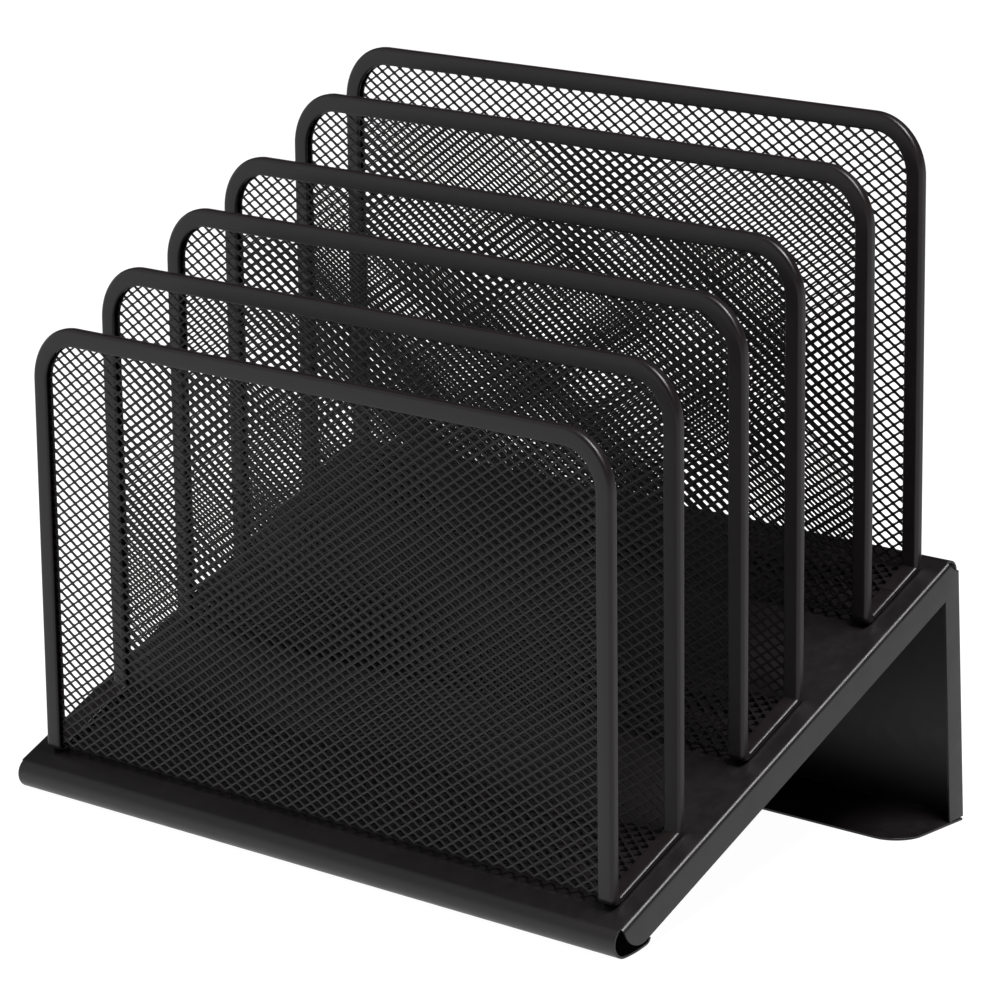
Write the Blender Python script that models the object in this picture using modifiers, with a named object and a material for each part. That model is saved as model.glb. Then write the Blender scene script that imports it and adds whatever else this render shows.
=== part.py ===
"""Desktop file sorter: a bent sheet-steel stand carrying three expanded-metal trays.

Each tray is one sheet of mesh bent into a U, with one folded rim strip all the way
round its edge. The walls of the three trays are the six dividers.

Frame: +X to the sorter's right, -Y to its front, +Z up, in metres. The origin is at
the middle of the footprint, on the surface the sorter stands on.
"""

import bisect
import math

import bmesh
import bpy
from mathutils import Vector

MM = 0.001
DEG = math.radians(1.0)
MERGE = 0.01 * MM

# Stand: deck, rolled front lip, side flanges, rear leg and foot bent from one sheet.
SHEET = 1.0 * MM
STAND_WIDTH = 330.0 * MM
DECK_SLOPE = 25.8 * DEG
DECK_LENGTH = 226.3 * MM
LIP_RADIUS = 6.4 * MM
LIP_FLOOR = (52.0 * MM, 14.5 * DEG)
LIP_TIP = (3.2 * MM, 66.0 * DEG)
REAR_BEND_RADIUS = 5.0 * MM
LEG_LEAN = 3.0 * DEG
FOOT_BEND_RADIUS = 1.6 * MM
FOOT_LENGTH = 41.5 * MM
FOOT_CORNER = 14.0 * MM
FOLD_RADIUS = 1.3 * MM
DECK_FLANGE = 12.6 * MM
LEG_FLANGE = 10.4 * MM
FLANGE_CORNER = 9.4 * MM

# Trays: three U-shaped trays. Each one's front wall stands this far up the deck from
# the deck's front bend, and its rear wall stands an opening further up.
TRAY_WIDTH = 310.0 * MM
TRAY_PLACES = {"front": 8.7 * MM, "middle": 95.1 * MM, "rear": 182.1 * MM}
TRAY_OPENINGS = {"front": 43.4 * MM, "middle": 38.5 * MM, "rear": 36.5 * MM}
WALL_HEIGHT = 184.0 * MM
WALL_CORNER = 24.0 * MM
OUTER_BEND = 3.2 * MM
INNER_BEND = 0.5 * MM
BEND_STEPS = 4
MESH_GAUGE = 0.5 * MM

# Rim: a folded channel that holds the edge of the mesh, pressed flatter on the deck.
RIM_DEPTH = 7.6 * MM
RIM_THICKNESS = 4.6 * MM
FLOOR_THICKNESS = 2.4 * MM
RIM_WALL = 1.0 * MM
RIM_ROUNDING = 1.4 * MM
RIM_GRIP = 2.4 * MM
CLEARANCE = 0.3 * MM

# Black powder coats: colour and roughness.
STAND_COAT = ((0.016, 0.015, 0.016), 0.40)
MESH_COAT = ((0.012, 0.012, 0.013), 0.45)
RIM_COAT = ((0.018, 0.017, 0.018), 0.38)

COLLECTION = "desktop_file_sorter"


# ---------------------------------------------------------------- outlines

def direction(heading):
    """Unit vector in the Y-Z plane, as (y, z)."""
    return Vector((math.cos(heading), math.sin(heading)))


def left_of(heading):
    """Unit vector square to a heading, on its left."""
    return Vector((-math.sin(heading), math.cos(heading)))


def arc(radius, turn, steps):
    """A round move: its length, the angle it turns through and its number of chords."""
    return (radius * abs(turn), turn, steps)


def straight(length):
    """A move that doesn't turn."""
    return (length, 0.0, 1)


def travel(start, heading, moves, distance):
    """Point and heading after a distance along straight and round moves."""
    point = Vector(start)
    for length, turn, _ in moves:
        covered = min(distance, length)
        share = covered / length
        if turn:
            radius = length / turn
            point += radius * (left_of(heading) - left_of(heading + turn * share))
            heading += turn * share
        else:
            point += covered * direction(heading)
        distance -= covered
        if distance <= 0.0:
            break
    return point, heading


def stations(moves):
    """Distances along the moves at which a sheet needs an edge."""
    marks = [0.0]
    for length, _, steps in moves:
        start = marks[-1]
        marks += [start + length * step / steps for step in range(1, steps + 1)]
    return marks


def trace(start, heading, moves):
    """Points of an outline made of straight and round moves."""
    return [travel(start, heading, moves, mark)[0] for mark in stations(moves)]


def outline_loop(half_width, length, radius, marks, steps):
    """Closed outline of a flat rounded rectangle, with extra points at the marks.

    The outline runs along +U on its +V side and back on its -V side.
    """
    side = []
    for centre, start in ((radius, 180.0 * DEG), (length - radius, 90.0 * DEG)):
        for step in range(steps + 1):
            angle = start - 90.0 * DEG * step / steps
            side.append((centre + radius * math.cos(angle),
                         half_width - radius + radius * math.sin(angle)))
    side += [(mark, half_width) for mark in marks if radius < mark < length - radius]
    side.sort()
    return side + [(along, -across) for along, across in reversed(side)]


# ---------------------------------------------------------------- shared helpers

def make_collection(name):
    collection = bpy.data.collections.new(name)
    bpy.context.scene.collection.children.link(collection)
    return collection


def make_material(name, coat):
    colour, roughness = coat
    material = bpy.data.materials.new(name)
    material.use_nodes = True
    shader = material.node_tree.nodes["Principled BSDF"]
    shader.inputs["Base Color"].default_value = (*colour, 1.0)
    shader.inputs["Roughness"].default_value = roughness
    return material


def make_object(name, mesh, coat, collection):
    mesh.name = name
    mesh.materials.clear()
    mesh.materials.append(make_material(name + "_coat", coat))
    mesh.shade_smooth()
    mesh.set_sharp_from_angle(angle=30.0 * DEG)
    part = bpy.data.objects.new(name, mesh)
    collection.objects.link(part)
    return part


def add_chain(bm, points):
    """Add points joined by edges in a row, and return both."""
    verts = [bm.verts.new(point) for point in points]
    edges = [bm.edges.new(pair) for pair in zip(verts, verts[1:])]
    return verts, edges


def add_thickness(part, thickness, offset):
    """Turn an open surface into a sheet, with offset 0 for half on each side."""
    modifier = part.modifiers.new("gauge", "SOLIDIFY")
    modifier.thickness = thickness
    modifier.offset = offset
    modifier.use_even_offset = True
    modifier.use_quality_normals = True


# ---------------------------------------------------------------- stand

def lip_moves():
    """The rolled lip behind its lowest line, from that line back to its tip."""
    return [arc(*LIP_FLOOR, 3), arc(*LIP_TIP, 4)]


def stand_moves():
    """The stand's outer face from the lip's lowest line to the front of the foot."""
    front_turn = DECK_SLOPE - 180.0 * DEG
    rear_turn = LEG_LEAN - 90.0 * DEG - DECK_SLOPE
    foot_turn = -90.0 * DEG - LEG_LEAN
    to_leg = [arc(LIP_RADIUS, front_turn, 10), straight(DECK_LENGTH),
              arc(REAR_BEND_RADIUS, rear_turn, 7)]
    leg_top = trace((0.0, 0.0), 180.0 * DEG, to_leg)[-1]
    foot_drop = FOOT_BEND_RADIUS * (1.0 + math.sin(LEG_LEAN))
    leg_length = (leg_top.y - foot_drop) / math.cos(LEG_LEAN)
    return to_leg + [straight(leg_length), arc(FOOT_BEND_RADIUS, foot_turn, 5),
                     straight(FOOT_LENGTH)]


def stand_centre():
    """Y of the middle of the footprint, measured from the lip's lowest line."""
    reach = [point.x for point in trace((0.0, 0.0), 180.0 * DEG, stand_moves())]
    return (min(reach) + max(reach)) / 2.0


def deck_point(along, above=0.0):
    """Point (y, z) at a distance up the deck from its front bend, and above its face."""
    front = trace((-stand_centre(), 0.0), 180.0 * DEG, stand_moves()[:1])[-1]
    return front + along * direction(DECK_SLOPE) + above * left_of(DECK_SLOPE)


def fold_down(bm, edge, side, inward, depth):
    """Fold a flange off one straight edge, through a round bend, and return its free edge."""
    across = Vector((side, 0.0, 0.0))
    steps = 4
    places = []
    for step in range(1, steps + 1):
        angle = 90.0 * DEG * step / steps
        places.append(FOLD_RADIUS * (math.sin(angle) * across + (1.0 - math.cos(angle)) * inward))
    places.append(FOLD_RADIUS * across + depth * inward)
    reached = Vector()
    for place in places:
        grown = bmesh.ops.extrude_edge_only(bm, edges=[edge])["geom"]
        moved = [item for item in grown if isinstance(item, bmesh.types.BMVert)]
        edge = next(item for item in grown if isinstance(item, bmesh.types.BMEdge))
        bmesh.ops.translate(bm, verts=moved, vec=place - reached)
        reached = place
    return edge


def ends_by_height(edge):
    """The lower and the upper end of an edge."""
    return sorted(edge.verts, key=lambda vert: vert.co.z)


def edge_before(bm, vert, edge):
    """The free edge that meets a given edge at one of its ends."""
    return next(item for item in vert.link_edges if item != edge and item.is_boundary)


def add_side_flanges(bm, verts, deck_start, leg_start, side):
    """Fold the deck's and the leg's flanges on one side and join them into an L."""
    deck_edge = bm.edges.get((verts[deck_start], verts[deck_start + 1]))
    leg_edge = bm.edges.get((verts[leg_start], verts[leg_start + 1]))
    deck_in = -left_of(DECK_SLOPE)
    leg_heading = LEG_LEAN - 90.0 * DEG
    leg_in = -left_of(leg_heading)
    deck_low = fold_down(bm, deck_edge, side, Vector((0.0, *deck_in)), DECK_FLANGE)
    leg_low = fold_down(bm, leg_edge, side, Vector((0.0, *leg_in)), LEG_FLANGE)
    deck_front, deck_rear = ends_by_height(deck_low)
    leg_top = ends_by_height(leg_low)[1]
    deck_shoulder = edge_before(bm, deck_rear, deck_low).other_vert(deck_rear)
    leg_shoulder = edge_before(bm, leg_top, leg_low).other_vert(leg_top)

    # The two lower edges meet at the inside corner of the L.
    across = leg_top.co.yz - deck_rear.co.yz
    along_deck = direction(DECK_SLOPE)
    along_leg = direction(leg_heading)
    reach = across.cross(along_leg) / along_deck.cross(along_leg)
    corner = deck_rear.co.yz + reach * along_deck
    inside = Vector((deck_rear.co.x, corner.x, corner.y))
    deck_rear.co = inside
    leg_top.co = inside
    bmesh.ops.weld_verts(bm, targetmap={leg_top: deck_rear})
    bmesh.ops.contextual_create(bm, geom=[deck_rear, deck_shoulder, leg_shoulder])
    bmesh.ops.bevel(bm, geom=[deck_front], affect="VERTICES", offset=FLANGE_CORNER,
                    segments=6, profile=0.5)


def add_foot_edges(bm, verts):
    """Widen the foot to the full width and round its two front corners."""
    for row, side in ((verts[0], -1.0), (verts[1], 1.0)):
        edge = bm.edges.get((row[-2], row[-1]))
        grown = bmesh.ops.extrude_edge_only(bm, edges=[edge])["geom"]
        moved = [item for item in grown if isinstance(item, bmesh.types.BMVert)]
        bmesh.ops.translate(bm, verts=moved, vec=(side * FOLD_RADIUS, 0.0, 0.0))
        bmesh.ops.dissolve_edges(bm, edges=[edge], use_verts=True)
        corner = min(moved, key=lambda vert: vert.co.y)
        bmesh.ops.bevel(bm, geom=[corner], affect="VERTICES", offset=FOOT_CORNER,
                        segments=6, profile=0.5)


def build_stand(collection):
    moves = stand_moves()
    start = (-stand_centre(), 0.0)
    tail = trace(start, 0.0, lip_moves())[:0:-1]
    profile = tail + trace(start, 180.0 * DEG, moves)
    deck_start = len(tail) + moves[0][2]
    leg_start = deck_start + 1 + moves[2][2]
    half = STAND_WIDTH / 2.0 - FOLD_RADIUS

    bm = bmesh.new()
    left, left_edges = add_chain(bm, [(-half, *point) for point in profile])
    right, right_edges = add_chain(bm, [(half, *point) for point in profile])
    bmesh.ops.bridge_loops(bm, edges=left_edges + right_edges)
    add_side_flanges(bm, left, deck_start, leg_start, -1.0)
    add_side_flanges(bm, right, deck_start, leg_start, 1.0)
    add_foot_edges(bm, (left, right))
    bmesh.ops.recalc_face_normals(bm, faces=bm.faces)
    mesh = bpy.data.meshes.new("stand")
    bm.to_mesh(mesh)
    bm.free()
    stand = make_object("stand", mesh, STAND_COAT, collection)
    add_thickness(stand, SHEET, -1.0)


# ---------------------------------------------------------------- trays

def rounded(before, corner, after, radius):
    """Points of the arc that rounds one corner of an outline in the Y-Z plane."""
    arriving = (corner - before).normalized()
    leaving = (after - corner).normalized()
    turn = arriving.angle(leaving)
    reach = radius * math.tan(turn / 2.0)
    heading = math.atan2(arriving.y, arriving.x)
    return trace(corner - reach * arriving, heading, [arc(radius, turn, BEND_STEPS)])


def tray_outline(place, inward, lift, radius):
    """A tray's U from wall top to wall top.

    Its walls are this far inside their middle planes, and its floor this far above the deck.
    """
    front_foot = deck_point(TRAY_PLACES[place])
    rear_foot = front_foot + TRAY_OPENINGS[place] * direction(DECK_SLOPE)
    step = inward * Vector((1.0, math.tan(DECK_SLOPE)))
    rise = Vector((0.0, lift / math.cos(DECK_SLOPE)))
    front = front_foot + step + rise
    rear = rear_foot - step + rise
    tops = Vector((front.x, front_foot.y + WALL_HEIGHT)), Vector((rear.x, rear_foot.y + WALL_HEIGHT))
    return ([tops[0]] + rounded(tops[0], front, rear, radius)
            + rounded(front, rear, tops[1], radius) + [tops[1]])


def tray_frame(place):
    """Distances along a tray's flat pattern, with its outer and inner outlines there."""
    outer = tray_outline(place, -RIM_THICKNESS / 2.0, CLEARANCE, OUTER_BEND)
    inner = tray_outline(place, RIM_THICKNESS / 2.0, CLEARANCE + FLOOR_THICKNESS, INNER_BEND)
    middle = [(a + b) / 2.0 for a, b in zip(outer, inner)]
    marks = [0.0]
    for last, point in zip(middle, middle[1:]):
        marks.append(marks[-1] + (point - last).length)
    return marks, outer, inner


def fold_tray(bm, frame):
    """Bend a flat pattern, with X along the tray's length, into the tray's U."""
    marks, outer, inner = frame
    for vert in bm.verts:
        along, across, above = vert.co
        last = bisect.bisect_right(marks, along + MERGE) - 1
        last = min(max(last, 0), len(marks) - 2)
        share = (along - marks[last]) / (marks[last + 1] - marks[last])
        depth = 0.5 + above / RIM_THICKNESS
        point = (outer[last].lerp(outer[last + 1], share)).lerp(
            inner[last].lerp(inner[last + 1], share), depth)
        vert.co = (across, point.x, point.y)


def build_mesh_sheet(name, frame, collection):
    inset = RIM_GRIP
    marks = [mark - inset for mark in frame[0]]
    length = marks[-1] - inset
    loop = outline_loop(TRAY_WIDTH / 2.0 - inset, length, WALL_CORNER - inset, marks, 5)
    half = len(loop) // 2

    bm = bmesh.new()
    _, near = add_chain(bm, [(along + inset, across, 0.0) for along, across in loop[:half]])
    _, far = add_chain(bm, [(along + inset, across, 0.0) for along, across in loop[:half - 1:-1]])
    bmesh.ops.bridge_loops(bm, edges=near + far)
    fold_tray(bm, frame)
    mesh = bpy.data.meshes.new(name)
    bm.to_mesh(mesh)
    bm.free()
    sheet = make_object(name, mesh, MESH_COAT, collection)
    add_thickness(sheet, MESH_GAUGE, 0.0)


def rim_section():
    """Closed section of the rim channel: X runs in from its outer edge, Y is its thickness."""
    half = RIM_THICKNESS / 2.0
    mouth = half - RIM_WALL
    inner = RIM_GRIP - CLEARANCE
    corner = RIM_ROUNDING
    side = [(RIM_DEPTH, mouth), (RIM_DEPTH, half)]
    for step in range(4):
        angle = 90.0 * DEG + 30.0 * DEG * step
        side.append((corner + corner * math.cos(angle), half - corner + corner * math.sin(angle)))
    return side + [(x, -y) for x, y in reversed(side)] + [(inner, -mouth), (inner, mouth)]


def flat_curve(name, points, collection):
    """A closed flat curve through the points, as an object."""
    curve = bpy.data.curves.new(name, "CURVE")
    curve.dimensions = "2D"
    curve.fill_mode = "NONE"
    spline = curve.splines.new("POLY")
    spline.points.add(len(points) - 1)
    for target, (x, y) in zip(spline.points, points):
        target.co = (x, y, 0.0, 1.0)
    spline.use_cyclic_u = True
    guide = bpy.data.objects.new(name, curve)
    collection.objects.link(guide)
    return guide


def remove_curve(guide):
    curve = guide.data
    bpy.data.objects.remove(guide)
    bpy.data.curves.remove(curve)


def build_rim(name, frame, section, collection):
    marks = frame[0]
    path = outline_loop(TRAY_WIDTH / 2.0, marks[-1], WALL_CORNER, marks, 6)
    guide = flat_curve(name + "_path", path, collection)
    guide.data.bevel_mode = "OBJECT"
    guide.data.bevel_object = section
    bpy.context.view_layer.update()
    depsgraph = bpy.context.evaluated_depsgraph_get()
    mesh = bpy.data.meshes.new_from_object(guide.evaluated_get(depsgraph))
    remove_curve(guide)

    bm = bmesh.new()
    bm.from_mesh(mesh)
    bmesh.ops.remove_doubles(bm, verts=bm.verts, dist=MERGE)
    fold_tray(bm, frame)
    bm.normal_update()
    bmesh.ops.recalc_face_normals(bm, faces=bm.faces)
    bm.to_mesh(mesh)
    bm.free()
    make_object(name, mesh, RIM_COAT, collection)


def build_trays(collection):
    section = flat_curve("rim_section", rim_section(), collection)
    for place in TRAY_PLACES:
        frame = tray_frame(place)
        build_mesh_sheet(place + "_tray_mesh", frame, collection)
        build_rim(place + "_tray_rim", frame, section, collection)
    remove_curve(section)


def clear_scene():
    for old in list(bpy.data.objects):
        bpy.data.objects.remove(old, do_unlink=True)


def main():
    clear_scene()
    collection = make_collection(COLLECTION)
    build_stand(collection)
    build_trays(collection)


main()
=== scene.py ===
"""Desktop file sorter in satin black powder-coated steel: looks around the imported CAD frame.

A bent sheet-metal stand carries three trays. Each tray is a sheet of expanded metal bent
into a U, with one folded rim channel round its whole edge. Units are metres, +Z up, with
-Y towards the sorter's front.
"""

import math

import bmesh
import bpy
import numpy as np
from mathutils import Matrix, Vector


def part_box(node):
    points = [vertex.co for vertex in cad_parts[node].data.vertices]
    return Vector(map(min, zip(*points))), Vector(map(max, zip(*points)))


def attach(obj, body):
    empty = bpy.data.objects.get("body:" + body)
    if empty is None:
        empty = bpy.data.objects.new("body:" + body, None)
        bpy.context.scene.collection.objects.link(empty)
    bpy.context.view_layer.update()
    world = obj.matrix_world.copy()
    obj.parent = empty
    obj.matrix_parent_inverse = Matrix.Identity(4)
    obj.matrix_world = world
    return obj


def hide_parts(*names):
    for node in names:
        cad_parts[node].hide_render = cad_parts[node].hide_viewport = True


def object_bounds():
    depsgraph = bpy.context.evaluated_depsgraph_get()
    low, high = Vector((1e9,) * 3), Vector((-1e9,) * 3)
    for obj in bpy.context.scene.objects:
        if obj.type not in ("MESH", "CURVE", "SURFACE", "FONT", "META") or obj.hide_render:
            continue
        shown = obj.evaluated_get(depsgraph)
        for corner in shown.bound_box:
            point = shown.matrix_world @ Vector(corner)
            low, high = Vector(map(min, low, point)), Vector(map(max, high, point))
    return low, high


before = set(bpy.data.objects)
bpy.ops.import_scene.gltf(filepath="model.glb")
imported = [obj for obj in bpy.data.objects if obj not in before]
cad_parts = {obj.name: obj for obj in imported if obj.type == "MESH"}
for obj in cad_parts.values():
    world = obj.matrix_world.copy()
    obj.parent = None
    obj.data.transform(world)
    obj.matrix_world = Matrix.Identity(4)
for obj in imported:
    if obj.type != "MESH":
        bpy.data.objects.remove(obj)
CAD_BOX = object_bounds()

MM = 0.001
DEG = math.radians(1.0)
MERGE = 0.002 * MM

TRAYS = ("front", "middle", "rear")
BOXES = {name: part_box(name + "_tray_rim") for name in TRAYS}
STAND_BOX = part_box("stand")

# Stand: one bent sheet. Each lip arc is its length and its turn.
SHEET = 1.0 * MM
DECK_LENGTH = 226.3 * MM
LIP_RADIUS = 6.4 * MM
LIP_FLOOR = (52.0 * MM, 14.5 * DEG)
LIP_TIP = (3.2 * MM, 66.0 * DEG)
REAR_BEND_RADIUS = 5.0 * MM
LEG_LEAN = 3.0 * DEG
FOOT_BEND_RADIUS = 1.6 * MM
FOOT_LENGTH = 41.5 * MM
FOOT_CORNER = 14.0 * MM
FOLD_RADIUS = 1.8 * MM
DECK_FLANGE = 12.6 * MM
LEG_FLANGE = 10.4 * MM
FLANGE_CORNER = 9.4 * MM
SHEET_EDGE = 0.28 * MM
EDGE_ANGLE = 60.0 * DEG
EDGE_SEGMENTS = 3
LIP_STEPS = 24
LIP_FLOOR_STEPS = 6
LIP_TIP_STEPS = 10
REAR_BEND_STEPS = 16
FOOT_BEND_STEPS = 10
FOLD_STEPS = 8
FLANGE_CORNER_STEPS = 12
FOOT_CORNER_STEPS = 14

# Trays: the bends are on the outer and the inner face of the U.
WALL_HEIGHT = 184.0 * MM
WALL_CORNER = 24.0 * MM
OUTER_BEND = 3.2 * MM
INNER_BEND = 0.5 * MM
BEND_STEPS = 8
CLEARANCE = 0.3 * MM

# Rim channel: a folded section with a rounded outer edge and a mouth that grips the mesh.
RIM_DEPTH = 7.6 * MM
RIM_THICKNESS = 4.6 * MM
FLOOR_THICKNESS = 2.4 * MM
RIM_ROUNDING = 1.6 * MM
MOUTH_ROUNDING = 0.9 * MM
MOUTH_CHAMFER = 0.3 * MM
MOUTH_GAP = 1.8 * MM
RIM_GRIP = 2.4 * MM
SEAM_GAP = 0.25 * MM
SEAM_SIDES = {"front": -1.0, "middle": -1.0, "rear": 1.0}
RIM_CORNER_STEPS = 18
RIM_ROUNDING_STEPS = 10
MOUTH_ROUNDING_STEPS = 6

# Expanded metal: long and short pitch of the diamonds, strand width and thickness, and
# how far each strand's edge leans out of the sheet. A hole's corners are cut off at two
# shares of the way from its long tip to its short one.
LONG_PITCH = 6.9 * MM
SHORT_PITCH = 4.6 * MM
STRAND = 0.90 * MM
MESH_THICKNESS = 0.62 * MM
STRAND_TILT = 0.22 * MM
HOLE_CORNERS = (0.14, 0.86)
MESH_CORNER_STEPS = 6

# Angles between faces above which a shaded edge stays sharp.
SHARP_SHEET = 30.0 * DEG
SHARP_STRAND = 75.0 * DEG


# ---------------------------------------------------------------- outlines

def direction(heading):
    """Unit vector along a heading."""
    return Vector((math.cos(heading), math.sin(heading)))


def left_of(heading):
    """Unit vector a quarter turn anticlockwise from a heading."""
    return Vector((-math.sin(heading), math.cos(heading)))


def arc(radius, turn, steps):
    """A round move, anticlockwise for a positive turn."""
    return (radius * abs(turn), turn, steps)


def straight(length):
    """A straight move."""
    return (length, 0.0, 1)


def travel(start, heading, moves, distance):
    """Point and heading after a distance along straight and round moves."""
    point = Vector(start)
    for length, turn, _ in moves:
        covered = min(distance, length)
        share = covered / length
        if turn:
            radius = length / turn
            point += radius * (left_of(heading) - left_of(heading + turn * share))
            heading += turn * share
        else:
            point += covered * direction(heading)
        distance -= covered
        if distance <= 0.0:
            break
    return point, heading


def trace(start, heading, moves):
    """Points of an outline made of straight and round moves."""
    marks = [0.0]
    for length, _, steps in moves:
        first = marks[-1]
        marks += [first + length * step / steps for step in range(1, steps + 1)]
    return [travel(start, heading, moves, mark)[0] for mark in marks]


def deck_slope():
    """Slope of the deck, from the way the trays' rear walls climb."""
    run = BOXES["rear"][1] - BOXES["front"][1]
    return math.atan2(run.z, run.y)


DECK_SLOPE = deck_slope()


def outline_loop(half_width, length, radius, marks, steps):
    """Closed outline of a flat rounded rectangle, with extra points at the marks."""
    side = []
    for centre, start in ((radius, 180.0 * DEG), (length - radius, 90.0 * DEG)):
        for step in range(steps + 1):
            angle = start - 90.0 * DEG * step / steps
            side.append((centre + radius * math.cos(angle),
                         half_width - radius + radius * math.sin(angle)))
    side += [(mark, half_width) for mark in marks if radius < mark < length - radius]
    side.sort()
    return side + [(along, -across) for along, across in reversed(side)]


# ---------------------------------------------------------------- node materials

# Powder coat: three noises, each with its scale per metre, detail and roughness; the spans
# of their values that are used; how much paler the patches are; how the sheen varies; and
# the relief of the orange-peel.
PATCHES = (14.0, 3.0, 0.5)
MOTTLE = (160.0, 3.0, 0.6)
PEEL = (2600.0, 2.0, 0.55)
SPAN = (0.3, 0.7)
RUBBED_SPAN = (0.35, 0.65)
LEAST_RUBBED = 0.3
PALE_PATCH = 1.35
PATCH_SHEEN = 0.03
MOTTLE_SHEEN = 0.04
PEEL_STRENGTH = 0.35
PEEL_DEPTH = 0.12 * MM
EDGE_POINTINESS = (0.53, 0.60)

# Each coat: colour, colour of its rubbed edges, roughness, edge wear and specular level.
COATS = {
    "stand": ((0.0031, 0.0021, 0.0023), (0.015, 0.014, 0.015), 0.40, 0.5, 0.38),
    "rim": ((0.0050, 0.0034, 0.0037), (0.016, 0.014, 0.015), 0.37, 0.4, 0.30),
    "mesh": ((0.0040, 0.0030, 0.0032), (0.014, 0.013, 0.013), 0.38, 0.3, 0.27),
}


class Nodes:
    """Small helper for writing a node tree."""

    # The Mix node's colour sockets, which come after those of its other types.
    COLOUR_INPUTS = slice(6, 8)
    COLOUR_OUTPUT = 2

    def __init__(self, tree):
        self.tree = tree

    def add(self, kind, **settings):
        node = self.tree.nodes.new(kind)
        for key, value in settings.items():
            setattr(node, key, value)
        return node

    def link(self, source, target):
        self.tree.links.new(source, target)

    def object_coordinates(self):
        return self.add("ShaderNodeTexCoord").outputs["Object"]

    def noise(self, coords, scale, detail, roughness):
        node = self.add("ShaderNodeTexNoise")
        self.link(coords, node.inputs["Vector"])
        node.inputs["Scale"].default_value = scale
        node.inputs["Detail"].default_value = detail
        node.inputs["Roughness"].default_value = roughness
        return node.outputs["Fac"]

    def remap(self, source, low, high, to_low, to_high):
        node = self.add("ShaderNodeMapRange")
        self.link(source, node.inputs["Value"])
        for name, value in (("From Min", low), ("From Max", high),
                            ("To Min", to_low), ("To Max", to_high)):
            node.inputs[name].default_value = value
        return node.outputs["Result"]

    def vector_maths(self, operation, vector):
        """A vector combined with itself."""
        node = self.add("ShaderNodeVectorMath", operation=operation)
        for socket in node.inputs[:2]:
            self.link(vector, socket)
        return node

    def maths(self, operation, first, second):
        """Sum or product of two values, each a socket or a plain number."""
        node = self.add("ShaderNodeMath", operation=operation)
        for socket, item in zip(node.inputs, (first, second)):
            if isinstance(item, (int, float)):
                socket.default_value = item
            else:
                self.link(item, socket)
        return node.outputs["Value"]

    def mix(self, factor, first, second):
        """Blend of two colours, each a socket or a plain colour."""
        node = self.add("ShaderNodeMix", data_type="RGBA")
        self.link(factor, node.inputs["Factor"])
        for socket, item in zip(node.inputs[self.COLOUR_INPUTS], (first, second)):
            if isinstance(item, tuple):
                socket.default_value = (*item, 1.0)
            else:
                self.link(item, socket)
        return node.outputs[self.COLOUR_OUTPUT]


def powder_coat(name, colour, worn, roughness, edge_wear, specular):
    """Satin black powder coat: fine orange-peel, patchy sheen, and faintly rubbed edges."""
    material = bpy.data.materials.new(name)
    material.use_nodes = True
    nodes = Nodes(material.node_tree)
    shader = material.node_tree.nodes["Principled BSDF"]
    coords = nodes.object_coordinates()

    broad = nodes.noise(coords, *PATCHES)
    mottle = nodes.noise(coords, *MOTTLE)
    peel = nodes.noise(coords, *PEEL)

    tone = nodes.maths("ADD", nodes.remap(broad, *SPAN, 0.0, 0.5),
                       nodes.remap(mottle, *SPAN, 0.0, 0.5))
    pale = tuple(channel * PALE_PATCH for channel in colour)
    base = nodes.mix(tone, colour, pale)
    geometry = nodes.add("ShaderNodeNewGeometry")
    edge = nodes.remap(geometry.outputs["Pointiness"], *EDGE_POINTINESS, 0.0, edge_wear)
    uneven = nodes.remap(mottle, *RUBBED_SPAN, LEAST_RUBBED, 1.0)
    rubbed = nodes.maths("MULTIPLY", edge, uneven)
    nodes.link(nodes.mix(rubbed, base, worn), shader.inputs["Base Color"])

    sheen = nodes.maths("ADD", nodes.remap(broad, *SPAN, -PATCH_SHEEN, PATCH_SHEEN),
                        nodes.remap(mottle, *SPAN, -MOTTLE_SHEEN, MOTTLE_SHEEN))
    nodes.link(nodes.maths("ADD", sheen, roughness), shader.inputs["Roughness"])

    bump = nodes.add("ShaderNodeBump")
    bump.inputs["Strength"].default_value = PEEL_STRENGTH
    bump.inputs["Distance"].default_value = PEEL_DEPTH
    nodes.link(peel, bump.inputs["Height"])
    nodes.link(bump.outputs["Normal"], shader.inputs["Normal"])
    shader.inputs["Specular IOR Level"].default_value = specular
    return material


# ---------------------------------------------------------------- shared mesh helpers

def add_piece(name, mesh, material, replaced, sharp=SHARP_SHEET):
    """A visible piece that rides on the part and stands for one CAD node."""
    mesh.materials.clear()
    mesh.materials.append(material)
    mesh.shade_smooth()
    mesh.set_sharp_from_angle(angle=sharp)
    piece = bpy.data.objects.new(name, mesh)
    bpy.context.scene.collection.objects.link(piece)
    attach(piece, "root")
    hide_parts(replaced)
    return piece


def add_chain(bm, points):
    """Vertices at the points, joined in a row by edges."""
    verts = [bm.verts.new(point) for point in points]
    edges = [bm.edges.new(pair) for pair in zip(verts, verts[1:])]
    return verts, edges


# ---------------------------------------------------------------- stand

def stand_moves():
    """The stand's side profile from the bottom of the front lip to the foot's tip."""
    front_turn = DECK_SLOPE - 180.0 * DEG
    rear_turn = LEG_LEAN - 90.0 * DEG - DECK_SLOPE
    foot_turn = -90.0 * DEG - LEG_LEAN
    to_leg = [arc(LIP_RADIUS, front_turn, LIP_STEPS), straight(DECK_LENGTH),
              arc(REAR_BEND_RADIUS, rear_turn, REAR_BEND_STEPS)]
    leg_top = trace((0.0, 0.0), 180.0 * DEG, to_leg)[-1]
    foot_drop = FOOT_BEND_RADIUS * (1.0 + math.sin(LEG_LEAN))
    leg_length = (leg_top.y - foot_drop) / math.cos(LEG_LEAN)
    return to_leg + [straight(leg_length), arc(FOOT_BEND_RADIUS, foot_turn, FOOT_BEND_STEPS),
                     straight(FOOT_LENGTH)]


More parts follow.
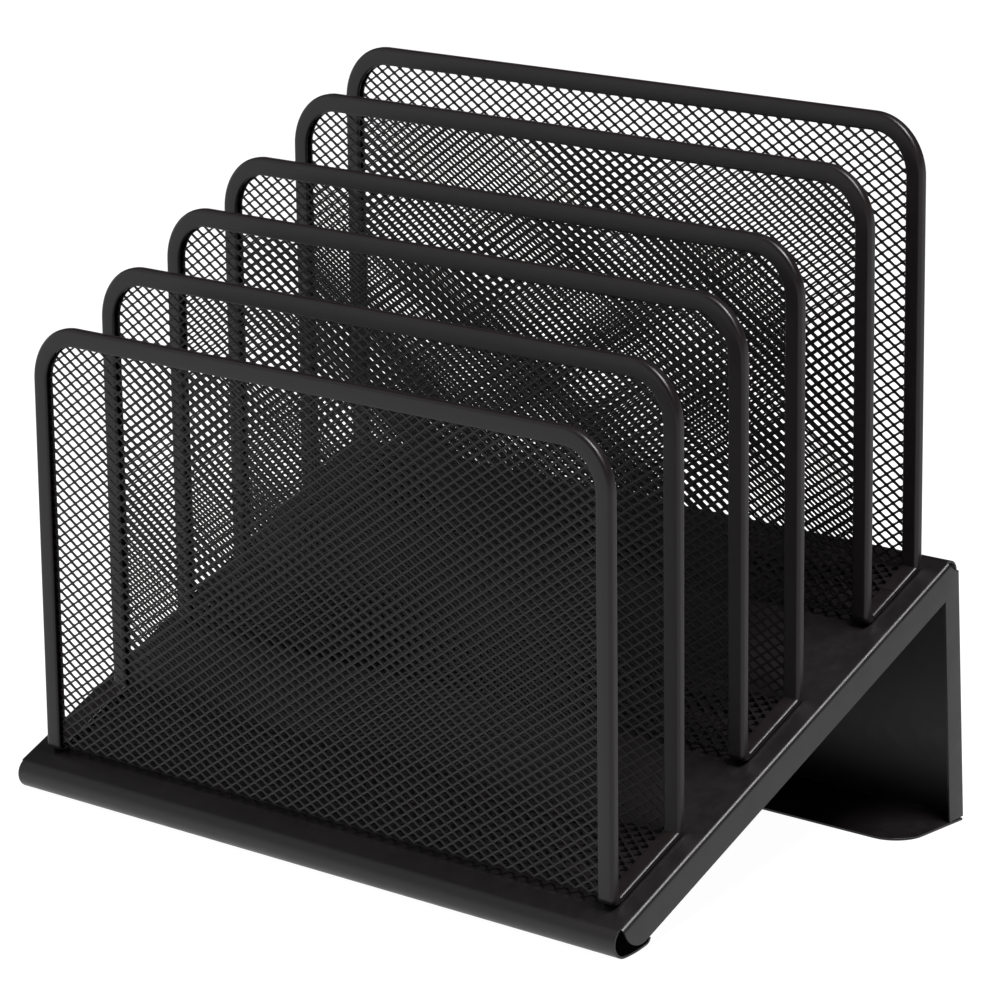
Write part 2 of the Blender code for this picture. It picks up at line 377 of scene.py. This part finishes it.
def fold_down(bm, edge, side, inward, depth):
    """Grow a rounded side flange from an edge of the sheet, and return its free edge."""
    across = Vector((side, 0.0, 0.0))
    places = []
    for step in range(1, FOLD_STEPS + 1):
        angle = 90.0 * DEG * step / FOLD_STEPS
        round_place = math.sin(angle) * across + (1.0 - math.cos(angle)) * inward
        places.append(FOLD_RADIUS * round_place)
    places.append(FOLD_RADIUS * across + depth * inward)
    reached = Vector()
    for place in places:
        grown = bmesh.ops.extrude_edge_only(bm, edges=[edge])["geom"]
        moved = [item for item in grown if isinstance(item, bmesh.types.BMVert)]
        edge = next(item for item in grown if isinstance(item, bmesh.types.BMEdge))
        bmesh.ops.translate(bm, verts=moved, vec=place - reached)
        reached = place
    return edge


def ends_by_height(edge):
    """An edge's two ends, the lower one first."""
    return sorted(edge.verts, key=lambda vert: vert.co.z)


def edge_before(vert, edge):
    """The other boundary edge at an end of a boundary edge."""
    return next(item for item in vert.link_edges if item != edge and item.is_boundary)


def add_side_flanges(bm, verts, deck_start, leg_start, side):
    """Fold the deck's and the leg's flanges down on one side, and join them in a mitre."""
    deck_edge = bm.edges.get((verts[deck_start], verts[deck_start + 1]))
    leg_edge = bm.edges.get((verts[leg_start], verts[leg_start + 1]))
    leg_heading = LEG_LEAN - 90.0 * DEG
    deck_in = Vector((0.0, *-left_of(DECK_SLOPE)))
    leg_in = Vector((0.0, *-left_of(leg_heading)))
    deck_low = fold_down(bm, deck_edge, side, deck_in, DECK_FLANGE)
    leg_low = fold_down(bm, leg_edge, side, leg_in, LEG_FLANGE)
    deck_front, deck_rear = ends_by_height(deck_low)
    leg_top = ends_by_height(leg_low)[1]
    deck_shoulder = edge_before(deck_rear, deck_low).other_vert(deck_rear)
    leg_shoulder = edge_before(leg_top, leg_low).other_vert(leg_top)
    across = leg_top.co.yz - deck_rear.co.yz
    along_deck = direction(DECK_SLOPE)
    along_leg = direction(leg_heading)
    reach = across.cross(along_leg) / along_deck.cross(along_leg)
    corner = deck_rear.co.yz + reach * along_deck
    inside = Vector((deck_rear.co.x, corner.x, corner.y))
    deck_rear.co = inside
    leg_top.co = inside
    bmesh.ops.weld_verts(bm, targetmap={leg_top: deck_rear})
    bmesh.ops.contextual_create(bm, geom=[deck_rear, deck_shoulder, leg_shoulder])
    bmesh.ops.bevel(bm, geom=[deck_front], affect="VERTICES", offset=FLANGE_CORNER,
                    segments=FLANGE_CORNER_STEPS, profile=0.5)


def add_foot_edges(bm, rows):
    """Widen the foot flange to the folds' outside, and round its corners."""
    for row, side in zip(rows, (-1.0, 1.0)):
        edge = bm.edges.get((row[-2], row[-1]))
        grown = bmesh.ops.extrude_edge_only(bm, edges=[edge])["geom"]
        moved = [item for item in grown if isinstance(item, bmesh.types.BMVert)]
        bmesh.ops.translate(bm, verts=moved, vec=(side * FOLD_RADIUS, 0.0, 0.0))
        bmesh.ops.dissolve_edges(bm, edges=[edge], use_verts=True)
        corner = min(moved, key=lambda vert: vert.co.y)
        bmesh.ops.bevel(bm, geom=[corner], affect="VERTICES", offset=FOOT_CORNER,
                        segments=FOOT_CORNER_STEPS, profile=0.5)


def build_stand(material):
    """The stand's sheet: its profile swept across, its flanges, then its gauge."""
    moves = stand_moves()
    front_reach = min(point.x for point in trace((0.0, 0.0), 180.0 * DEG, moves))
    start = (STAND_BOX[0].y - front_reach, STAND_BOX[0].z)
    lip = trace(start, 0.0, [arc(*LIP_FLOOR, LIP_FLOOR_STEPS), arc(*LIP_TIP, LIP_TIP_STEPS)])
    tail = lip[:0:-1]
    profile = tail + trace(start, 180.0 * DEG, moves)
    deck_start = len(tail) + moves[0][2]
    leg_start = deck_start + 1 + moves[2][2]
    half = STAND_BOX[1].x - FOLD_RADIUS

    bm = bmesh.new()
    left, left_edges = add_chain(bm, [(-half, *point) for point in profile])
    right, right_edges = add_chain(bm, [(half, *point) for point in profile])
    bmesh.ops.bridge_loops(bm, edges=left_edges + right_edges)
    add_side_flanges(bm, left, deck_start, leg_start, -1.0)
    add_side_flanges(bm, right, deck_start, leg_start, 1.0)
    add_foot_edges(bm, (left, right))
    bmesh.ops.recalc_face_normals(bm, faces=bm.faces)
    mesh = bpy.data.meshes.new("stand_sheet")
    bm.to_mesh(mesh)
    bm.free()
    stand = add_piece("stand_sheet", mesh, material, "stand")

    gauge = stand.modifiers.new("gauge", "SOLIDIFY")
    gauge.thickness = SHEET
    gauge.offset = -1.0
    gauge.use_even_offset = True
    gauge.use_quality_normals = True
    eased = stand.modifiers.new("eased_edges", "BEVEL")
    eased.width = SHEET_EDGE
    eased.segments = EDGE_SEGMENTS
    eased.limit_method = "ANGLE"
    eased.angle_limit = EDGE_ANGLE
    eased.harden_normals = True
    return stand


# ---------------------------------------------------------------- trays

def rounded(before, corner, after, radius):
    """Points of the arc that rounds one corner of an outline in the Y-Z plane."""
    arriving = (corner - before).normalized()
    leaving = (after - corner).normalized()
    turn = arriving.angle(leaving)
    reach = radius * math.tan(turn / 2.0)
    heading = math.atan2(arriving.y, arriving.x)
    return trace(corner - reach * arriving, heading, [arc(radius, turn, BEND_STEPS)])


def tray_outline(tray, inward, lift, radius):
    """A tray's U from wall top to wall top: walls this far inside their middle planes,
    and the floor this far above the deck."""
    low, high = BOXES[tray]
    half = RIM_THICKNESS / 2.0
    climb = Vector((1.0, math.tan(DECK_SLOPE)))
    rear_foot = Vector((high.y - half, high.z - WALL_HEIGHT))
    front_foot = rear_foot - (high.y - low.y - RIM_THICKNESS) * climb
    rise = Vector((0.0, lift / math.cos(DECK_SLOPE)))
    front = front_foot + inward * climb + rise
    rear = rear_foot - inward * climb + rise
    tops = Vector((front.x, front_foot.y + WALL_HEIGHT)), Vector((rear.x, high.z))
    return ([tops[0]] + rounded(tops[0], front, rear, radius)
            + rounded(front, rear, tops[1], radius) + [tops[1]])


def tray_frame(tray):
    """Distances along a tray's flat pattern, with its outer and inner outlines there."""
    outer = tray_outline(tray, -RIM_THICKNESS / 2.0, CLEARANCE, OUTER_BEND)
    inner = tray_outline(tray, RIM_THICKNESS / 2.0, CLEARANCE + FLOOR_THICKNESS, INNER_BEND)
    middle = [(a + b) / 2.0 for a, b in zip(outer, inner)]
    marks = [0.0]
    for last, point in zip(middle, middle[1:]):
        marks.append(marks[-1] + (point - last).length)
    return np.array(marks), np.array(outer), np.array(inner)


def fold_tray(bm, tray, squashed):
    """Bend a flat pattern, with X along the tray's length, into the tray's U.

    A squashed pattern is pressed flatter along the floor; any other keeps its gauge.
    """
    marks, outer, inner = tray
    verts = list(bm.verts)
    flat = np.array([vert.co for vert in verts])
    along, across, above = flat.T
    far = np.stack([np.interp(along, marks, outer[:, axis]) for axis in range(2)], axis=1)
    near = np.stack([np.interp(along, marks, inner[:, axis]) for axis in range(2)], axis=1)
    through = near - far
    if not squashed:
        through *= RIM_THICKNESS / np.linalg.norm(through, axis=1, keepdims=True)
    folded = (far + near) / 2.0 + through * (above / RIM_THICKNESS)[:, None]
    for vert, x, (y, z) in zip(verts, across, folded):
        vert.co = (x, y, z)


def quarter_round(centre_x, centre_y, radius, start, steps):
    """Points of a quarter circle, anticlockwise from a starting angle."""
    angles = [start + 90.0 * DEG * step / steps for step in range(steps + 1)]
    return [(centre_x + radius * math.cos(angle), centre_y + radius * math.sin(angle))
            for angle in angles]


def rim_section():
    """Closed section of the rim channel: X runs in from its outer edge, Y is its thickness."""
    half = RIM_THICKNESS / 2.0
    mouth = MOUTH_GAP / 2.0
    inner = RIM_GRIP - CLEARANCE
    side = [(RIM_DEPTH - MOUTH_CHAMFER, mouth), (RIM_DEPTH, mouth + MOUTH_CHAMFER)]
    side += quarter_round(RIM_DEPTH - MOUTH_ROUNDING, half - MOUTH_ROUNDING, MOUTH_ROUNDING, 0.0,
                          MOUTH_ROUNDING_STEPS)
    side += quarter_round(RIM_ROUNDING, half - RIM_ROUNDING, RIM_ROUNDING, 90.0 * DEG,
                          RIM_ROUNDING_STEPS)
    return side + [(x, -y) for x, y in reversed(side)] + [(inner, -mouth), (inner, mouth)]


def flat_curve(name, points, closed=True):
    """A flat curve through the points, as an object."""
    curve = bpy.data.curves.new(name, "CURVE")
    curve.dimensions = "2D"
    curve.fill_mode = "NONE"
    spline = curve.splines.new("POLY")
    spline.points.add(len(points) - 1)
    for target, (x, y) in zip(spline.points, points):
        target.co = (x, y, 0.0, 1.0)
    spline.use_cyclic_u = closed
    guide = bpy.data.objects.new(name, curve)
    bpy.context.scene.collection.objects.link(guide)
    return guide


def remove_curve(guide):
    curve = guide.data
    bpy.data.objects.remove(guide)
    bpy.data.curves.remove(curve)


def open_at_seam(path, along, across):
    """The closed path as an open one, cut where it passes a point, with a small gap."""
    loop = path + path[:1]
    for index, (first, second) in enumerate(zip(loop, loop[1:])):
        same_side = first[1] == second[1] == across
        low, high = sorted((first[0], second[0]))
        if same_side and low < along < high:
            step = math.copysign(SEAM_GAP / 2.0, second[0] - first[0])
            return ([(along + step, across)] + path[index + 1:] + path[:index + 1]
                    + [(along - step, across)])
    return path


def build_rim(name, tray, section, material):
    """A tray's rim: the section swept round the flat pattern, then bent with the tray."""
    marks = tray[0]
    half_width = BOXES[name][1].x
    path = outline_loop(half_width, marks[-1], WALL_CORNER, list(marks), RIM_CORNER_STEPS)
    floor_middle = (marks[BEND_STEPS + 1] + marks[BEND_STEPS + 2]) / 2.0
    path = open_at_seam(path, floor_middle, SEAM_SIDES[name] * half_width)
    guide = flat_curve(name + "_path", path, closed=False)
    guide.data.bevel_mode = "OBJECT"
    guide.data.bevel_object = section
    guide.data.use_fill_caps = True
    bpy.context.view_layer.update()
    depsgraph = bpy.context.evaluated_depsgraph_get()
    mesh = bpy.data.meshes.new_from_object(guide.evaluated_get(depsgraph))
    remove_curve(guide)
    bm = bmesh.new()
    bm.from_mesh(mesh)
    bmesh.ops.remove_doubles(bm, verts=bm.verts, dist=MERGE)
    fold_tray(bm, tray, squashed=True)
    bm.normal_update()
    bmesh.ops.recalc_face_normals(bm, faces=bm.faces)
    bm.to_mesh(mesh)
    bm.free()
    mesh.name = name + "_rim_channel"
    return add_piece(name + "_rim_channel", mesh, material, name + "_tray_rim")


# ---------------------------------------------------------------- expanded metal

def diamond_hole():
    """A quarter of a hole's outline, as two points off the hole's middle."""
    tilt = math.atan2(SHORT_PITCH, LONG_PITCH)
    reach_across = LONG_PITCH / 2.0 - STRAND / 2.0 / math.sin(tilt)
    reach_along = SHORT_PITCH / 2.0 - STRAND / 2.0 / math.cos(tilt)
    return [(reach_across * (1.0 - share), reach_along * share) for share in HOLE_CORNERS]


def expanded_sheet(length, half_width):
    """Flat expanded metal over a rectangle: vertices and faces, overhanging it by a cell."""
    quarter = diamond_hole()
    hole = ([(x, y) for x, y in quarter] + [(-x, y) for x, y in reversed(quarter)]
            + [(-x, -y) for x, y in quarter] + [(x, -y) for x, y in reversed(quarter)])
    corners = ((1, 0), (0, 1), (-1, 0), (0, -1))
    verts, faces, shared = [], [], {}

    def place(column, row):
        return length / 2.0 + row * SHORT_PITCH / 2.0, column * LONG_PITCH / 2.0

    def corner_pair(column, row):
        """The two vertices, one on each face of the sheet, where strands meet."""
        key = (column, row)
        if key not in shared:
            along, across = place(column, row)
            shared[key] = len(verts)
            verts.append((along, across, MESH_THICKNESS / 2.0))
            verts.append((along, across, -MESH_THICKNESS / 2.0))
        return shared[key]

    rows = math.ceil(length / SHORT_PITCH) + 1
    columns = math.ceil(2.0 * half_width / LONG_PITCH) + 1
    for row in range(-rows, rows + 1):
        for column in range(-columns, columns + 1):
            if (row + column) % 2:
                continue
            along, across = place(column, row)
            if abs(across) > half_width + LONG_PITCH / 2.0:
                continue
            if not -SHORT_PITCH / 2.0 < along < length + SHORT_PITCH / 2.0:
                continue
            knots = [corner_pair(column + dx, row + dy) for dx, dy in corners]
            first = len(verts)
            for x, y in hole:
                verts.append((along + y, across + x, STRAND_TILT * math.copysign(1.0, y)))
            for quadrant in range(4):
                here, there = knots[quadrant], knots[(quadrant + 1) % 4]
                a = first + 2 * quadrant
                b = a + 1
                last = first + (2 * quadrant - 1) % 8
                faces.append((here, there, b, a))
                faces.append((here, a, last))
                faces.append((a, b, there + 1, here + 1))
                faces.append((last, a, here + 1))
    return verts, faces


def clip_to_outline(bm, half_width, length, radius):
    """Cut the sheet to a rounded rectangle and close the strands' cut ends."""
    loop = outline_loop(half_width, length, radius, [], MESH_CORNER_STEPS)
    middle = Vector((length / 2.0, 0.0, 0.0))
    for first, second in zip(loop, loop[1:] + loop[:1]):
        point = Vector((*first, 0.0))
        run = Vector((*second, 0.0)) - point
        if run.length < MERGE:
            continue
        outward = Vector((run.y, -run.x, 0.0)).normalized()
        if outward.dot(point - middle) < 0.0:
            outward.negate()
        near = [face for face in bm.faces
                if max((vert.co - point).dot(outward) for vert in face.verts) > 0.0]
        edges = dict.fromkeys(edge for face in near for edge in face.edges)
        verts = dict.fromkeys(vert for face in near for vert in face.verts)
        bmesh.ops.bisect_plane(bm, geom=[*near, *edges, *verts], plane_co=point,
                               plane_no=outward, clear_outer=True, dist=MERGE)
    cut = [edge for edge in bm.edges if edge.is_boundary]
    bmesh.ops.holes_fill(bm, edges=cut, sides=0)


def build_mesh_sheet(name, tray, material):
    """A tray's mesh, reaching into its rim all round."""
    half_width = BOXES[name][1].x - RIM_GRIP
    length = tray[0][-1] - 2.0 * RIM_GRIP
    verts, faces = expanded_sheet(length, half_width)
    mesh = bpy.data.meshes.new(name + "_expanded_mesh")
    mesh.from_pydata(verts, [], faces)
    bm = bmesh.new()
    bm.from_mesh(mesh)
    clip_to_outline(bm, half_width, length, WALL_CORNER - RIM_GRIP)
    bmesh.ops.translate(bm, verts=bm.verts, vec=(RIM_GRIP, 0.0, 0.0))
    fold_tray(bm, tray, squashed=False)
    bm.normal_update()
    bm.to_mesh(mesh)
    bm.free()
    return add_piece(name + "_expanded_mesh", mesh, material,
                     name + "_tray_mesh", sharp=SHARP_STRAND)


# ---------------------------------------------------------------- studio

WHITE = (1.0, 1.0, 1.0, 1.0)

# Floor: half its side, how far it lies under the sorter, its surface, and its glow. Under
# the deck the glow fades to a painted shadow, a soft dark leaning squared-off oval whose edge
# runs over this range of the fourth power of the distance.
FLOOR_SIZE = 12.0
FLOOR_DROP = 0.2 * MM
FLOOR_COLOUR = (0.12, 0.12, 0.12, 1.0)
FLOOR_ROUGHNESS = 0.9
FLOOR_SPECULAR = 0.1
FLOOR_GLOW = 0.98
SHADE_GLOW = 0.08
SHADE_MIDDLE = (-0.0125, -0.016, 0.0)
SHADE_REACH = (0.1175, 0.084, 1.0)
SHADE_EDGE = (0.1, 1.0)
SHADE_LEAN = 0.5

# World: heights on the unit sphere over which the white horizon fades to a dark sky.
HORIZON_FADE = (0.085, 0.12)
HORIZON_GLOW = 1.02
SKY_GLOW = 0.01

# Lights: place, size and watts.
SOFTBOXES = {
    "overhead_softbox": ((0.82, 0.0, 2.16), (0.9, 0.7), 98.0),
    "front_left_softbox": ((-1.38, -1.12, 1.23), (2.4, 2.4), 13.0),
}

# Camera: sensor and lens in millimetres.
SENSOR_WIDTH = 36.0
LENS = 166.05
CAMERA_PLACE = (1.2013, -1.337, 0.5978)
CAMERA_TURN = (75.461 * DEG, 0.656 * DEG, 41.571 * DEG)


def floor_glow_with_painted_shadow(nodes):
    """The floor's glow, with a painted shadow under the deck: a soft dark patch in the glow."""
    place = nodes.add("ShaderNodeSeparateXYZ")
    nodes.link(nodes.object_coordinates(), place.inputs["Vector"])
    lean = nodes.maths("MULTIPLY", place.outputs["Y"], SHADE_LEAN)
    leaning = nodes.add("ShaderNodeCombineXYZ")
    nodes.link(nodes.maths("ADD", place.outputs["X"], lean), leaning.inputs["X"])
    nodes.link(place.outputs["Y"], leaning.inputs["Y"])
    scaled = nodes.add("ShaderNodeMapping", vector_type="TEXTURE")
    nodes.link(leaning.outputs["Vector"], scaled.inputs["Vector"])
    scaled.inputs["Location"].default_value = SHADE_MIDDLE
    scaled.inputs["Scale"].default_value = SHADE_REACH
    squares = nodes.vector_maths("MULTIPLY", scaled.outputs["Vector"]).outputs["Vector"]
    distance = nodes.vector_maths("DOT_PRODUCT", squares).outputs["Value"]
    return nodes.remap(distance, *SHADE_EDGE, SHADE_GLOW, FLOOR_GLOW)


def build_floor():
    """A pale floor whose glow holds a painted shadow under the deck."""
    mesh = bpy.data.meshes.new("studio_floor")
    bm = bmesh.new()
    bmesh.ops.create_grid(bm, x_segments=2, y_segments=2, size=FLOOR_SIZE)
    bm.to_mesh(mesh)
    bm.free()
    floor = bpy.data.objects.new("studio_floor", mesh)
    bpy.context.scene.collection.objects.link(floor)
    material = bpy.data.materials.new("pale_floor_with_painted_shadow")
    material.use_nodes = True
    nodes = Nodes(material.node_tree)
    shader = material.node_tree.nodes["Principled BSDF"]
    shader.inputs["Base Color"].default_value = FLOOR_COLOUR
    shader.inputs["Roughness"].default_value = FLOOR_ROUGHNESS
    shader.inputs["Specular IOR Level"].default_value = FLOOR_SPECULAR
    shader.inputs["Emission Color"].default_value = WHITE
    # The glow fades to the painted shadow under the deck.
    nodes.link(floor_glow_with_painted_shadow(nodes), shader.inputs["Emission Strength"])
    mesh.materials.append(material)
    floor.location.z = -FLOOR_DROP


def area_light(name, place, size, power):
    """A soft panel turned towards the middle of the sorter."""
    aim = (CAD_BOX[0] + CAD_BOX[1]) / 2.0
    data = bpy.data.lights.new(name, "AREA")
    data.shape = "RECTANGLE"
    data.size, data.size_y = size
    data.energy = power
    light = bpy.data.objects.new(name, data)
    bpy.context.scene.collection.objects.link(light)
    light.location = place
    light.rotation_euler = (aim - Vector(place)).to_track_quat("-Z", "Y").to_euler()


def build_world():
    """A dark studio, with white below and just above the horizon."""
    world = bpy.data.worlds.new("studio")
    bpy.context.scene.world = world
    world.use_nodes = True
    nodes = Nodes(world.node_tree)
    background = world.node_tree.nodes["Background"]
    background.inputs["Color"].default_value = WHITE
    split = nodes.add("ShaderNodeSeparateXYZ")
    sky = nodes.add("ShaderNodeTexCoord").outputs["Generated"]
    nodes.link(sky, split.inputs["Vector"])
    strength = nodes.remap(split.outputs["Z"], *HORIZON_FADE, HORIZON_GLOW, SKY_GLOW)
    nodes.link(strength, background.inputs["Strength"])


def build_camera():
    """The camera, above and to the right of the sorter's front."""
    data = bpy.data.cameras.new("camera")
    data.sensor_width = SENSOR_WIDTH
    data.lens = LENS
    camera = bpy.data.objects.new("camera", data)
    bpy.context.scene.collection.objects.link(camera)
    camera.location = CAMERA_PLACE
    camera.rotation_euler = CAMERA_TURN
    bpy.context.scene.camera = camera


def build_studio():
    """Floor, world, lights, camera and view transform."""
    build_floor()
    build_world()
    for name, light in SOFTBOXES.items():
        area_light(name, *light)
    build_camera()
    bpy.context.scene.view_settings.view_transform = "Standard"


def main():
    coats = {key: powder_coat("satin_black_" + key, *finish) for key, finish in COATS.items()}
    build_stand(coats["stand"])
    section = flat_curve("rim_section", rim_section())
    for name in TRAYS:
        tray = tray_frame(name)
        build_rim(name, tray, section, coats["rim"])
        build_mesh_sheet(name, tray, coats["mesh"])
    remove_curve(section)
    build_studio()


main()
